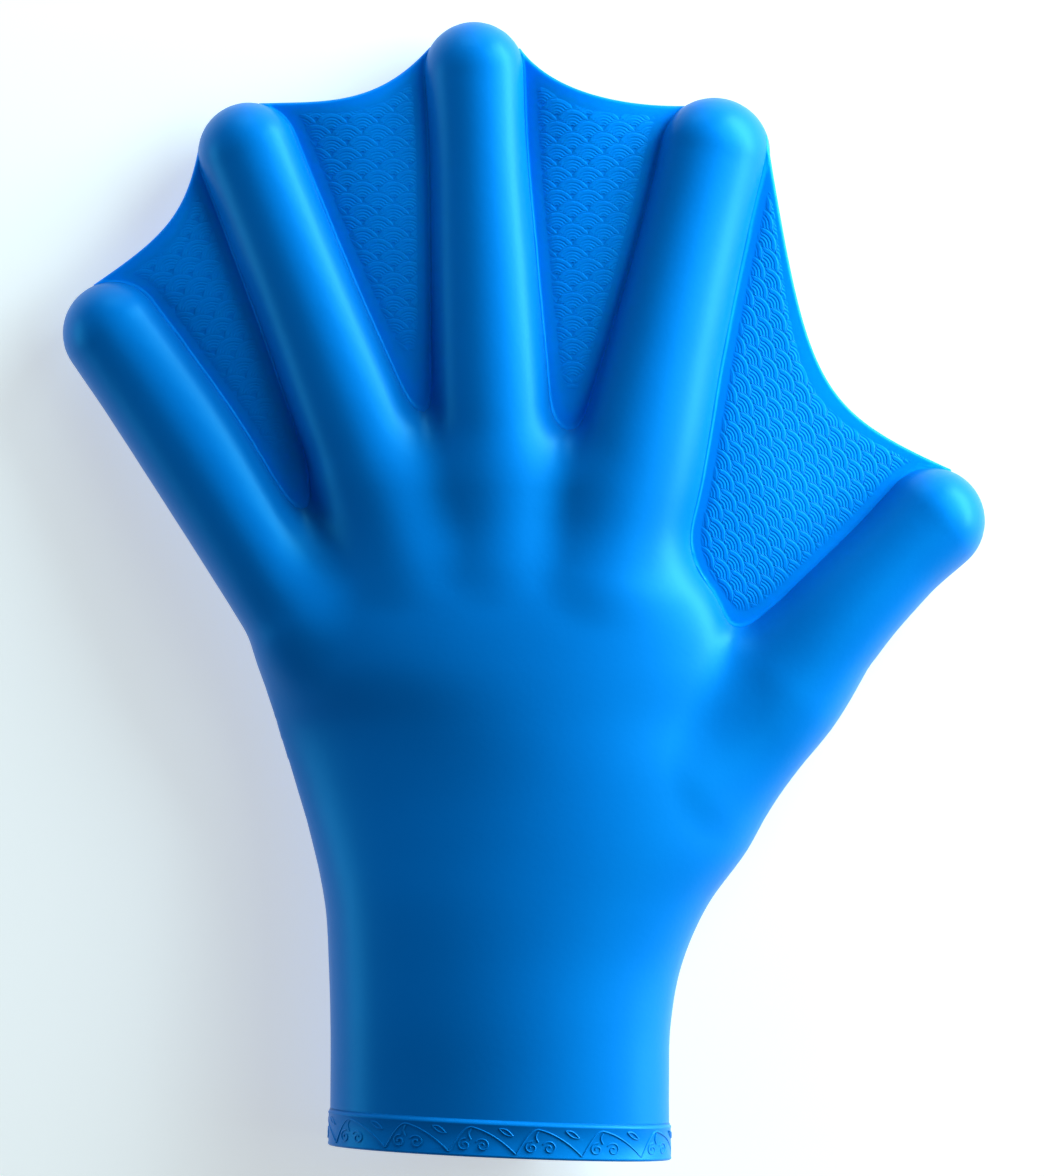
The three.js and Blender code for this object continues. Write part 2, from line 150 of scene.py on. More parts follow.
# Webs between two stalls: from_end and to_end are the ends of the free edge, to the side of and ahead of
# each tip's centre as shares of its half width. leave and arrive are the edge's angles there, in
# degrees, and the pulls how far each holds. inset is how far the web starts inside the palm, swell its
# arch and crest the share of its width where it is highest.
WEBS = {
    "web_thumb_index": {
        "from": "index", "to": "thumb", "from_end": (0.8, 0.5), "to_end": (-0.4, 0.88), "inset": 0.3,
        "leave": 20, "leave_pull": 0.67, "arrive": 37, "arrive_pull": 0.39, "swell": 1.3, "crest": 0.4,
    },
    "web_index_middle": {
        "from": "middle", "to": "index", "from_end": (0.87, 0.4), "to_end": (-0.64, 0.66), "inset": 0.3,
        "leave": 36, "leave_pull": 0.37, "arrive": 22, "arrive_pull": 0.25, "swell": 1.2, "crest": 0.45,
    },
    "web_middle_ring": {
        "from": "ring", "to": "middle", "from_end": (0.53, 0.78), "to_end": (-0.8, 0.5), "inset": 0.3,
        "leave": 17, "leave_pull": 0.35, "arrive": 31, "arrive_pull": 0.46, "swell": 1.0, "crest": 0.55,
    },
    "web_ring_little": {
        "from": "little", "to": "ring", "from_end": (0.21, 0.93), "to_end": (-0.81, 0.45), "inset": 0.25,
        "leave": 19, "leave_pull": 0.49, "arrive": 27, "arrive_pull": 0.41, "swell": 0.8, "crest": 0.5,
    },
}


def length_property(name, description, default):
    return bpy.props.FloatProperty(name=name, description=description, default=default, unit="LENGTH")


def colour_property(name, description, default):
    return bpy.props.FloatVectorProperty(
        name=name, description=description, default=default, subtype="COLOR", size=3)


class SwimGloveForm(bpy.types.PropertyGroup):
    """Driving sizes of the sleeve, palm and stalls"""

    cuff_width: length_property("Cuff width", "Width of the sleeve", 0.0737)
    cuff_height: length_property("Cuff height", "Height of the sleeve", 0.043)
    cuff_length: length_property("Cuff length", "Length of the sleeve", 0.054)
    cuff_tilt: bpy.props.FloatProperty(
        name="Cuff tilt", description="Slant of the open end", default=math.radians(2.5), unit="ROTATION")
    palm_width: length_property("Palm width", "Width across the palm", 0.104)
    palm_height: length_property("Palm height", "Height of the palm", 0.034)
    palm_length: length_property("Palm length", "Sleeve to knuckle line", 0.101)
    palm_round: length_property("Palm rounding", "Rounding at the palm's far end", 0.015)
    finger_reach: length_property("Finger reach", "Knuckle to tip centre of a finger", 0.08)
    thumb_reach: length_property("Thumb reach", "Knuckle to tip centre of the thumb", 0.058)
    finger_width: length_property("Finger width", "Width of a finger stall", 0.022)
    thumb_width: length_property("Thumb width", "Width of the thumb stall", 0.023)
    flatness: bpy.props.FloatProperty(
        name="Stall flatness", description="Height of a stall over its width", default=21 / 22)
    knuckle_rise: length_property("Knuckle rise", "Height of a knuckle's centre", 0.0185)
    blend: length_property("Blend", "Fillet where two forms join", 0.007)
    wall: length_property("Wall", "Thickness of the silicone", 0.0018)
    cell: length_property("Cell", "Fineness of the surface", 0.0015)
    web_thickness: length_property("Web thickness", "Thickness of a web", 0.0015)
    web_bulge: length_property("Web bulge", "Height by which a web arches", 0.0035)
    web_fillet: length_property("Web fillet", "Fillet between web and stall", 0.0003)
    web_root: length_property("Web root", "Depth of a web's edge in a wall", 0.0009)


class SwimGloveBand(bpy.types.PropertyGroup):
    """Driving sizes of the cuff band"""

    width: length_property("Band width", "Open end to the band's lip", 0.0075)
    proud: length_property("Band height", "Height above the sleeve", 0.0007)
    face_share: bpy.props.FloatProperty(
        name="Face height", description="Height of the band's face over the band's height", default=0.45)
    repeats: bpy.props.IntProperty(
        name="Repeats", description="Number of motifs round the border", default=13)
    line_width: length_property("Line width", "Width of a raised line of the border", 0.0005)
    line_height: length_property("Line height", "Height of a raised line of the border", 0.00016)
    joint: length_property("Joint", "Gap between band and shell in the solids", 0.0003)


class SwimGloveSilicone(bpy.types.PropertyGroup):
    """Colours and finish of the silicone"""

    colour: colour_property("Colour", "Colour of the thick walls", (0.0, 0.15, 0.52))
    # The webs are the same silicone as the walls; their lighter colour is painted light, the glow of the
    # floor shining through the thin sheet.
    web_colour_painted_backlit: colour_property("Web colour", "Colour of the thin webs", (0.0, 0.23, 0.9))
    roughness: bpy.props.FloatProperty(
        name="Roughness", description="Roughness of the moulded surface", default=0.38, subtype="FACTOR")


class SwimGloveStudio(bpy.types.PropertyGroup):
    """The floor, lights and camera"""

    camera_distance: length_property("Camera distance", "Lens to floor", 2.0)
    view_height: length_property("View height", "Height of the picture on the glove", 0.2587)
    floor_size: length_property("Floor size", "Side of the floor", 6.0)
    floor_colour: colour_property("Floor colour", "Colour of the floor", (0.8, 0.8, 0.8))
    floor_glow: bpy.props.FloatProperty(
        name="Floor glow", description="Light from the lit floor itself", default=0.5)
    light_power: bpy.props.FloatProperty(
        name="Light power", description="Power of the main softbox", default=20.0, unit="POWER")


# A smooth curve through the rows of a table, level past its ends.
def follow(rows, column, at):
    stations = np.array([row["at"] for row in rows])
    values = np.array([row[column] for row in rows])
    last = len(rows) - 1
    before = np.maximum(np.arange(last + 1) - 1, 0)
    after = np.minimum(np.arange(last + 1) + 1, last)
    slopes = (values[after] - values[before]) / (stations[after] - stations[before])
    at = np.clip(at, stations[0], stations[last])
    i = np.clip(np.searchsorted(stations, at, side="right") - 1, 0, last - 1)
    span = stations[i + 1] - stations[i]
    t = (at - stations[i]) / span
    rise = values[i + 1] - values[i]
    leave, arrive = slopes[i] * span, slopes[i + 1] * span
    return (values[i] + t * leave + t * t * (3 * rise - 2 * leave - arrive)
            + t ** 3 * (leave + arrive - 2 * rise))


def blend_union(a, b, fillet):
    overlap = np.maximum(fillet - np.abs(a - b), 0) / fillet
    return np.minimum(a, b) - overlap * overlap * fillet / 4


def ellipsoid_distance(x, y, z, rx, ry, rz):
    near = np.sqrt((x / rx) ** 2 + (y / ry) ** 2 + (z / rz) ** 2)
    slope = np.sqrt((x / rx ** 2) ** 2 + (y / ry ** 2) ** 2 + (z / rz ** 2) ** 2)
    return near * (near - 1) / np.maximum(slope, 1e-9)


def domed_distance(x, y, z, rx, ry, crown, keel, dome):
    """An ellipsoid whose upper half has its own height and power"""
    above = z > 0
    rz = np.where(above, crown, keel)
    power = np.where(above, dome, 2.0)
    level = np.maximum(np.abs(z) / rz, 1e-6)
    near = np.sqrt((x / rx) ** 2 + (y / ry) ** 2 + level ** power)
    slope_z = power / 2 * level ** (power - 1) / rz
    slope = np.sqrt((x / rx ** 2) ** 2 + (y / ry ** 2) ** 2 + slope_z ** 2)
    return near * (near - 1) / np.maximum(slope, 1e-9)


class Stall:
    """One finger stall: a tapering round-ended form along a straight line, rising towards the palm"""

    def __init__(self, row, form):
        width, reach = {
            "finger": (form.finger_width, form.finger_reach),
            "thumb": (form.thumb_width, form.thumb_reach),
        }[row["kind"]]
        half_width = width / 2
        heading = math.radians(row["heading"])
        knuckle = np.array([row["x"] * form.palm_width, row["y"] * (form.cuff_length + form.palm_length)])
        self.reach = row["reach"] * reach
        self.out = np.array([math.sin(heading), math.cos(heading)])
        self.tip = knuckle + self.out * self.reach
        self.end = self.reach * (1 + row["root"])
        tip_height = row["tip"] * half_width * form.flatness
        knuckle_height = row["crest"] * half_width * form.flatness * KNUCKLE_FLAT[row["kind"]]
        tip_rise = tip_height - band_sizes().proud
        knuckle_rise = row["rise"] * form.knuckle_rise
        self.stations = [
            {
                "at": station["at"] * self.reach,
                "half": row[station["width"]] * half_width,
                "tall": tip_height + (knuckle_height - tip_height) * station["tall"],
                "rise": tip_rise + (knuckle_rise - tip_rise) * station["rise"],
                "aside": row["aside"] * half_width * station["aside"],
            }
            for station in STALL_STATIONS
        ]
        self.stations.append({
            "at": self.end,
            "half": row["base"] * half_width,
            "tall": knuckle_height * ROOT_END["tall"],
            "rise": knuckle_rise * ROOT_END["rise"],
            "aside": row["aside_end"] * half_width,
        })
        self.lean = row["lean"]

    def distance(self, x, y, z):
        dx, dy = x - self.tip[0], y - self.tip[1]
        along = -(dx * self.out[0] + dy * self.out[1])
        across = dx * self.out[1] - dy * self.out[0]
        at = np.clip(along, 0, self.end)
        half = follow(self.stations, "half", at)
        tall = follow(self.stations, "tall", at)
        rise = follow(self.stations, "rise", at)
        across = across - follow(self.stations, "aside", at) - self.lean * (z - rise)
        return ellipsoid_distance(across, along - at, z - rise, half, half, tall)

    def centre(self, at):
        """Points on the centre line, at distances from the tip's centre"""
        at = np.asarray(at, float)
        flat = self.tip - self.out * at[..., None]
        rise = follow(self.stations, "rise", np.clip(at, 0, self.end))
        return np.concatenate([flat, rise[..., None]], axis=-1)

    def beside_tip(self, side, ahead):
        half = self.stations[0]["half"]
        point = self.centre(-ahead * half)
        point[0] += self.out[1] * side * half
        point[1] -= self.out[0] * side * half
        return point


class GloveField:
    """The outer surface as a field of distances, with the open end at y = 0"""

    def __init__(self, form):
        self.form = form
        self.stalls = {name: Stall(row, form) for name, row in STALLS.items()}
        self.body = [
            {
                "at": start + row["at"] * length,
                "left": row["left"] * width,
                "right": row["right"] * width,
                "lift": row["lift"] * height,
                "waist": row["waist"] * height,
                "top": row["top"] * height,
                "dome": row["dome"],
            }
            for sections, start, length, width, height in (
                (CUFF_SECTIONS, 0.0, form.cuff_length, form.cuff_width, form.cuff_height),
                (PALM_SECTIONS, form.cuff_length, form.palm_length, form.palm_width, form.palm_height),
            )
            for row in sections
        ]
        tilt = form.cuff_tilt
        self.axes = np.array([
            [math.cos(tilt), -math.sin(tilt), 0],
            [math.sin(tilt), math.cos(tilt), 0],
            [0, 0, 1],
        ])

    def section(self, y):
        """Left edge, right edge, underside, waist, crown and dome of the sleeve and palm"""
        at = np.clip(y, self.body[0]["at"], self.body[-1]["at"])
        columns = ("left", "right", "lift", "waist", "top", "dome")
        return at, *(follow(self.body, column, at) for column in columns)

    def distance(self, points):
        x, y, z = points[..., 0], points[..., 1], points[..., 2]
        at, left, right, lift, waist, top, dome = self.section(y)
        distance = domed_distance(
            x - (left + right) / 2, y - at, z - waist, (right - left) / 2, self.form.palm_round,
            top - waist, waist - lift, dome)
        for stall in self.stalls.values():
            distance = blend_union(distance, stall.distance(x, y, z), self.form.blend)
        return distance

    def slope(self, points, step=2e-5):
        sides = [
            self.distance(points + step * axis) - self.distance(points - step * axis)
            for axis in np.eye(3)
        ]
        return np.stack(sides, axis=-1) / (2 * step)

    def settle(self, points, depth, passes=3):
        """Moves points to a depth below the surface"""
        for _ in range(passes):
            slope = self.slope(points)
            gap = (self.distance(points) + depth) / np.maximum((slope ** 2).sum(-1), 1e-6)
            points = points - slope * gap[:, None]
        return points


# The room in which the surface is looked for, in metres: half its width, its far end, floor and ceiling.
NET_ROOM = {"side": 0.118, "far": 0.262, "floor": -0.006, "ceiling": 0.052}
# A net that isn't clean is laid again, up to this number of tries, with the grid moved on by this share of
# a cell each time.
NET_TRIES = 8
NET_SHIFT = 0.618


def lay_net(field, depth, cell, start, shift=0.0):
    """The surface at a depth as four-sided faces, one point in each cell that it crosses.
    The grid is turned with the open end, where the net stays open."""
    low = np.array([-NET_ROOM["side"], start, NET_ROOM["floor"]]) + shift * cell
    high = np.array([NET_ROOM["side"], NET_ROOM["far"], NET_ROOM["ceiling"]])
    shape = np.ceil((high - low) / cell).astype(int) + 1
    ticks = [low[i] + cell * np.arange(shape[i]) for i in range(3)]
    grid = np.stack(np.meshgrid(*ticks, indexing="ij"), axis=-1)
    values = np.concatenate([field.distance(layer @ field.axes)[None] for layer in grid]) + depth
    inside = values < 0
    sums = np.zeros((*shape, 3))
    hits = np.zeros(shape)
    faces = []
    for axis in range(3):
        step = np.eye(3, dtype=int)[axis]
        side_a = np.eye(3, dtype=int)[(axis + 1) % 3]
        side_b = np.eye(3, dtype=int)[(axis + 2) % 3]
        first = inside[tuple(slice(0, shape[i] - step[i]) for i in range(3))]
        second = inside[tuple(slice(step[i], shape[i]) for i in range(3))]
        edge = np.argwhere(first != second)
        here = values[tuple(edge.T)]
        there = values[tuple((edge + step).T)]
        crossing = low + cell * (edge + (here / (here - there))[:, None] * step)
        cells = [edge, edge - side_a, edge - side_a - side_b, edge - side_b]
        whole = np.ones(len(edge), bool)
        for around in cells:
            held = (around >= 0).all(axis=1)
            np.add.at(sums, tuple(around[held].T), crossing[held])
            np.add.at(hits, tuple(around[held].T), 1)
            whole &= held
        ring = np.stack([np.ravel_multi_index(tuple(c[whole].T), shape) for c in cells], axis=1)
        turned = here[whole] >= 0
        ring[turned] = ring[turned][:, ::-1]
        faces.append(ring)
    used, faces = np.unique(np.concatenate(faces), return_inverse=True)
    faces = faces.reshape(-1, 4)
    points = sums.reshape(-1, 3)[used] / hits.reshape(-1)[used][:, None]
    return points @ field.axes, faces


def edge_pairs(faces):
    return np.concatenate([np.stack([faces[:, i], faces[:, (i + 1) % 4]], axis=1) for i in range(4)])


def even_out(field, points, faces, depth, passes=6, share=0.6):
    """Spreads the points of a net evenly over the surface"""
    pairs = edge_pairs(faces)
    for _ in range(passes):
        sums, counts = np.zeros_like(points), np.zeros(len(points))
        for a, b in ((0, 1), (1, 0)):
            np.add.at(sums, pairs[:, a], points[pairs[:, b]])
            np.add.at(counts, pairs[:, a], 1)
        points = points + share * (sums / counts[:, None] - points)
        points = field.settle(points, depth, passes=1)
    return field.settle(points, depth)


def is_clean(faces):
    """Whether no edge of a net joins more than two faces"""
    pairs = np.sort(edge_pairs(faces), axis=1)
    return np.unique(pairs, axis=0, return_counts=True)[1].max() <= 2


def make_skin(field, depth, cell, start):
    for attempt in range(NET_TRIES):
        points, faces = lay_net(field, depth, cell, start, shift=(attempt * NET_SHIFT) % 1)
        if is_clean(faces):
            break
    return even_out(field, points, faces, depth), faces


def home(field, points):
    """The move from the field's own place to the place of the solids"""
    low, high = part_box("glove_shell")
    return np.array([
        (low.x + high.x - points[:, 0].min() - points[:, 0].max()) / 2,
        high.y - points[:, 1].max(),
        band_sizes().proud,
    ])


def form_sizes():
    return bpy.context.scene.swim_glove_form


def band_sizes():
    return bpy.context.scene.swim_glove_band


def silicone_finish():
    return bpy.context.scene.swim_glove_silicone


def studio_settings():
    return bpy.context.scene.swim_glove_studio


def new_object(name, points, faces):
    mesh = bpy.data.meshes.new(name)
    mesh.from_pydata([tuple(p) for p in points], [], [tuple(int(i) for i in f) for f in faces])
    mesh.update()
    mesh.shade_smooth()
    obj = bpy.data.objects.new(name, mesh)
    bpy.context.scene.collection.objects.link(obj)
    return obj


@contextmanager
def mesh_edit(obj):
    """The mesh of an object, open for changes that are written back at the end"""
    work = bmesh.new()
    work.from_mesh(obj.data)
    yield work
    work.to_mesh(obj.data)
    work.free()


def net_faces(rows, columns, closed_rows=False, closed_columns=False):
    """The four-sided faces of points that stand in rows and columns"""
    index = np.arange(rows * columns).reshape(rows, columns)
    if closed_rows:
        index = np.concatenate([index, index[:1]])
    if closed_columns:
        index = np.concatenate([index, index[:, :1]], axis=1)
    corners = [index[:-1, :-1], index[:-1, 1:], index[1:, 1:], index[1:, :-1]]
    return np.stack(corners, axis=-1).reshape(-1, 4).tolist()


# The part of a fan that its neighbours in front leave open, flat, with its crest towards +Y.
def make_fan(name, relief):
    pitch, step, radius = relief["pitch"], relief["step"], relief["radius"]
    in_front = [(pitch / 2, -step), (-pitch / 2, -step), (0.0, -2 * step)]
    beside = math.hypot(pitch / 2, step)
    reach = math.sqrt(radius ** 2 - beside ** 2 / 4)
    side = (pitch / 4 + reach * step / beside, -step / 2 + reach * pitch / 2 / beside)
    widest = math.atan2(*side)
    angles = np.linspace(-widest, widest, FAN_SECTORS + 1)
    points = []
    for share, height in FAN_RINGS:
        for angle in angles:
            ray = np.array([math.sin(angle), math.cos(angle)])
            inner = 0.0
            for centre in in_front:
                middle = np.dot(centre, ray)
                rest = radius ** 2 - np.dot(centre, centre) + middle ** 2
                if rest > 0:
                    inner = max(inner, middle + math.sqrt(rest))
            far = min(max(share * radius, inner), radius)
            low = FAN_RINGS[-1][1] if far > share * radius + 1e-7 else height
            points.append((*(ray * far), low * relief["height"]))
    fan = new_object(name, points, net_faces(len(FAN_RINGS), FAN_SECTORS + 1))
    with mesh_edit(fan) as work:
        bmesh.ops.remove_doubles(work, verts=work.verts, dist=2e-5)
        bmesh.ops.recalc_face_normals(work, faces=work.faces)
        if sum(face.normal.z for face in work.faces) < 0:
            bmesh.ops.reverse_faces(work, faces=work.faces)
        for face in work.faces:
            face.smooth = False
    return fan


def add_node(tree, kind, inputs=(), **settings):
    """Adds a node; an input takes a value or the output of another node"""
    node = tree.nodes.new(kind)
    for key, value in settings.items():
        setattr(node, key, value)
    for key, value in dict(inputs).items():
        if isinstance(value, bpy.types.NodeSocket):
            tree.links.new(value, node.inputs[key])
        else:
            node.inputs[key].default_value = value
    return node


class NodeTree:
    """A geometry node tree under construction"""

    def __init__(self, name, inputs):
        self.tree = bpy.data.node_groups.new(name, "GeometryNodeTree")
        self.tree.is_modifier = True
        self.tree.interface.new_socket("Geometry", in_out="INPUT", socket_type="NodeSocketGeometry")
        for title, kind in inputs.items():
            self.tree.interface.new_socket(title, in_out="INPUT", socket_type=f"NodeSocket{kind}")
        self.tree.interface.new_socket("Geometry", in_out="OUTPUT", socket_type="NodeSocketGeometry")
        self.given = self.tree.nodes.new("NodeGroupInput").outputs

    def add(self, kind, inputs=(), **settings):
        return add_node(self.tree, kind, inputs, **settings)

    def math(self, operation, a, b=0.0, c=0.0):
        return self.add("ShaderNodeMath", {0: a, 1: b, 2: c}, operation=operation).outputs[0]

    def vector(self, operation, a, b=(0, 0, 0)):
        return self.add("ShaderNodeVectorMath", {0: a, 1: b}, operation=operation).outputs[0]

    def scaled(self, vector, scale):
        return self.add("ShaderNodeVectorMath", {0: vector, "Scale": scale}, operation="SCALE").outputs[0]

    def split(self, vector):
        return self.add("ShaderNodeSeparateXYZ", {0: vector}).outputs

    def joined(self, x, y, z):
        return self.add("ShaderNodeCombineXYZ", {0: x, 1: y, 2: z}).outputs[0]

    def finish(self, *parts):
        """Joins the parts, makes them real, gives them the material and ends the tree"""
        join = self.add("GeometryNodeJoinGeometry")
        for part in parts:
            self.tree.links.new(part, join.inputs[0])
        real = self.add("GeometryNodeRealizeInstances", {0: join.outputs[0]})
        dressed = self.add("GeometryNodeSetMaterial", {
            0: real.outputs[0], "Material": self.given["Material"]})
        end = self.tree.nodes.new("NodeGroupOutput")
        self.tree.links.new(dressed.outputs[0], end.inputs[0])
        return self.tree


# The fans drop from this height onto a web, in metres. They are taken away where less than this share of
# the relief is left, and lie from half of this sink below the surface, at the margins, to half above it.
DROP_HEIGHT = 0.1
BARE_SHARE = 0.02
RELIEF_SINK = 0.00025


def wave_scale_tree():
    """Fans on a staggered lattice, dropped onto the top of a web and sunk where its relief fades"""
    name = "Wave Scales"
    if name in bpy.data.node_groups:
        return bpy.data.node_groups[name]
    tree = NodeTree(name, {
        "Fan": "Object", "Pitch": "Float", "Step": "Float", "Columns": "Int", "Rows": "Int",
        "Turn": "Float", "Centre": "Vector", "Sink": "Float", "Material": "Material",
    })
    given = tree.given
    wide = tree.math("MULTIPLY", tree.math("SUBTRACT", given["Columns"], 1.0), given["Pitch"])
    deep = tree.math("MULTIPLY", tree.math("SUBTRACT", given["Rows"], 1.0), given["Step"])
    lattice = tree.add("GeometryNodeMeshGrid", {
        "Size X": wide, "Size Y": deep, "Vertices X": given["Columns"], "Vertices Y": given["Rows"]})
    spot = tree.add("GeometryNodeInputPosition").outputs[0]
    row = tree.math("ROUND", tree.math("DIVIDE", tree.split(spot)[1], given["Step"]))
    odd = tree.math("PINGPONG", row, 1.0)
    slip = tree.joined(tree.math("MULTIPLY", tree.math("MULTIPLY", odd, given["Pitch"]), 0.5), 0.0, 0.0)
    staggered = tree.add("GeometryNodeSetPosition", {"Geometry": lattice.outputs[0], "Offset": slip})
    fan = tree.add("GeometryNodeObjectInfo", {"Object": given["Fan"]})
    fans = tree.add("GeometryNodeInstanceOnPoints", {
        "Points": staggered.outputs[0], "Instance": fan.outputs["Geometry"]})
    real = tree.add("GeometryNodeRealizeInstances", {0: fans.outputs[0]})
    turned = tree.add("GeometryNodeTransform", {
        "Geometry": real.outputs[0], "Translation": given["Centre"],
        "Rotation": tree.joined(0.0, 0.0, given["Turn"])})
    place = tree.split(tree.add("GeometryNodeInputPosition").outputs[0])
    fade = tree.add("GeometryNodeInputNamedAttribute", {"Name": "relief_fade"}, data_type="FLOAT")
    drop = tree.add("GeometryNodeRaycast", {
        "Target Geometry": given["Geometry"], "Attribute": fade.outputs[0],
        "Source Position": tree.joined(place[0], place[1], DROP_HEIGHT),
        "Ray Direction": (0.0, 0.0, -1.0), "Ray Length": 2 * DROP_HEIGHT}, data_type="FLOAT")
    shown = drop.outputs["Attribute"]
    missed = tree.math("SUBTRACT", 1.0, drop.outputs["Is Hit"])
    bare = tree.math("MAXIMUM", missed, tree.math("LESS_THAN", shown, BARE_SHARE))
    level = tree.math("MULTIPLY_ADD", tree.math("ADD", given["Sink"], place[2]), shown,
                      tree.math("MULTIPLY", given["Sink"], -0.5))
    ground = tree.split(drop.outputs["Hit Position"])[2]
    marked = tree.add("GeometryNodeStoreNamedAttribute", {
        "Geometry": turned.outputs[0], "Name": "bare", "Value": bare}, data_type="FLOAT")
    laid = tree.add("GeometryNodeSetPosition", {
        "Geometry": marked.outputs[0],
        "Position": tree.joined(place[0], place[1], tree.math("ADD", ground, level))})
    taken = tree.add("GeometryNodeInputNamedAttribute", {"Name": "bare"}, data_type="FLOAT")
    kept = tree.add("GeometryNodeDeleteGeometry", {
        "Geometry": laid.outputs[0], "Selection": taken.outputs[0]})
    return tree.finish(given["Geometry"], kept.outputs[0])


def border_tree():
    """A motif repeated along the rim and bent round it"""
    tree = NodeTree("Scroll Border", {
        "Motif": "Object", "Rim": "Object", "Count": "Int", "Motif Length": "Float",
        "Inward": "Vector", "Material": "Material",
    })
    given = tree.given
    rim = tree.add("GeometryNodeObjectInfo", {"Object": given["Rim"]})
    curve = tree.add("GeometryNodeMeshToCurve", {0: rim.outputs["Geometry"]}).outputs[0]
    length = tree.add("GeometryNodeCurveLength", {0: curve}).outputs[0]
    pitch = tree.math("DIVIDE", length, given["Count"])
    stretch = tree.math("DIVIDE", pitch, given["Motif Length"])
    row = tree.add("GeometryNodeMeshLine", {
        "Count": given["Count"],
        "Start Location": tree.joined(tree.math("MULTIPLY", pitch, 0.5), 0.0, 0.0),
        "Offset": tree.joined(pitch, 0.0, 0.0)})
    motif = tree.add("GeometryNodeObjectInfo", {"Object": given["Motif"]})
    motifs = tree.add("GeometryNodeInstanceOnPoints", {
        "Points": row.outputs[0], "Instance": motif.outputs["Geometry"],
        "Scale": tree.joined(stretch, 1.0, 1.0)})
    real = tree.add("GeometryNodeRealizeInstances", {0: motifs.outputs[0]})
    place = tree.split(tree.add("GeometryNodeInputPosition").outputs[0])
    sample = tree.add("GeometryNodeSampleCurve", {"Curves": curve, "Length": place[0]}, mode="LENGTH")
    outward = tree.vector("NORMALIZE", tree.vector(
        "CROSS_PRODUCT", given["Inward"], sample.outputs["Tangent"]))
    bent = tree.vector("ADD", sample.outputs["Position"], tree.vector(
        "ADD", tree.scaled(given["Inward"], place[1]), tree.scaled(outward, place[2])))
    laid = tree.add("GeometryNodeSetPosition", {"Geometry": real.outputs[0], "Position": bent})
    return tree.finish(given["Geometry"], laid.outputs[0])


def apply_tree(obj, tree, values):
    """Runs a node tree on an object once and keeps the plain mesh"""
    modifier = obj.modifiers.new(tree.name, "NODES")
    modifier.node_group = tree
    sockets = {item.name: item.identifier for item in tree.interface.items_tree if item.in_out == "INPUT"}
    for title, value in values.items():
        modifier[sockets[title]] = value
    depsgraph = bpy.context.evaluated_depsgraph_get()
    mesh = bpy.data.meshes.new_from_object(obj.evaluated_get(depsgraph), depsgraph=depsgraph)
    obj.modifiers.clear()
    plain = obj.data
    obj.data = mesh
    bpy.data.meshes.remove(plain)
    mesh.name = obj.name


def remove_object(obj):
    mesh = obj.data
    bpy.data.objects.remove(obj)
    bpy.data.meshes.remove(mesh)


# The border's motif, in metres from its middle: a wave that climbs from its start to its crest and falls
# to its end, a bowed stem under the crest, two curls and a leaf between two bowed lines, all mirrored
# when drawn. steep is how far the fall bends. A curl's start is in degrees, and its hand is 1 to wind
# anticlockwise.
MOTIF_LENGTH = 0.0134
WAVE = {"start": -0.0066, "crest": -0.0023, "end": 0.0067, "foot": -0.0028, "top": 0.0027, "steep": 0.65}
STEM = {"top": 0.0024, "bow": 0.0005}
CURLS = table(
    "x y reach start hand",
    (-0.0036, -0.0012, 0.0014, 80, 1),
    (0.0, -0.0012, 0.0015, 150, -1),
)
CURL_TURNS = 1.35
CURL_CLOSING = 0.8
LEAF = {"x": 0.0032, "y": 0.0025, "length": 0.0028, "drop": 0.0014, "bows": (0.0006, -0.0005)}
# A raised line's flanks: places across it as shares of its width, and the depth of its feet, in metres.
LINE_FOOT = 0.5
LINE_TOP = 0.18
LINE_DEPTH = 0.0001


def curl(x, y, reach, start, hand):
    """A curl from its outer end inwards"""
    turns = np.linspace(0, 1, 24)
    angles = math.radians(start) + hand * CURL_TURNS * 2 * math.pi * turns
    radii = reach * (1 - CURL_CLOSING * turns)
    return [(x + r * math.cos(a), y + r * math.sin(a)) for r, a in zip(radii, angles)]


def motif_lines():
    turns = np.linspace(0, 1, 15)
    high = WAVE["top"] - WAVE["foot"]
    climb = [
        (WAVE["start"] + (WAVE["crest"] - WAVE["start"]) * t,
         WAVE["foot"] + high * math.sin(math.pi / 2 * t))
        for t in turns
    ]
    fall = [
        (WAVE["crest"] + (WAVE["end"] - WAVE["crest"]) * t,
         WAVE["top"] - high * ((1 - WAVE["steep"]) * t + WAVE["steep"] * t * t))
        for t in turns
    ]
    stem = [
        (WAVE["crest"] - STEM["bow"] * math.sin(math.pi * t), STEM["top"] * (1 - t))
        for t in turns[::2]
    ]
    leaf = [
        [(LEAF["x"] + LEAF["length"] * t, LEAF["y"] - LEAF["drop"] * t + bow * math.sin(math.pi * t))
         for t in turns[::2]]
        for bow in LEAF["bows"]
    ]
    lines = [climb + fall[1:], stem, *(curl(**row) for row in CURLS), *leaf]
    return [[(-x, y) for x, y in line] for line in lines]


def make_motif(line_width, line_height):
    points, faces = [], []
    for line in motif_lines():
        path = np.array(line)
        along = np.gradient(path, axis=0)
        along /= np.linalg.norm(along, axis=1)[:, None]
        across = np.stack([-along[:, 1], along[:, 0]], axis=1)
        flanks = [
            (-LINE_FOOT, -LINE_DEPTH), (-LINE_TOP, line_height),
            (LINE_TOP, line_height), (LINE_FOOT, -LINE_DEPTH),
        ]
        for side, height in flanks:
            edge = path + across * side * line_width
            points += [(x, y, height) for x, y in edge]
        first, count = len(points) - 4 * len(path), len(path)
        for strip in range(3):
            for k in range(count - 1):
                a = first + strip * count + k
                faces.append((a, a + 1, a + count + 1, a + count))
    return new_object("BorderMotif", points, faces)


def face_outward(obj):
    with mesh_edit(obj) as work:
        bmesh.ops.recalc_face_normals(work, faces=work.faces)


def settle_piece(obj, material, slot, *nodes):
    obj.data.materials.clear()
    obj.data.materials.append(material)
    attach(obj, "root")
    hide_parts(*nodes)


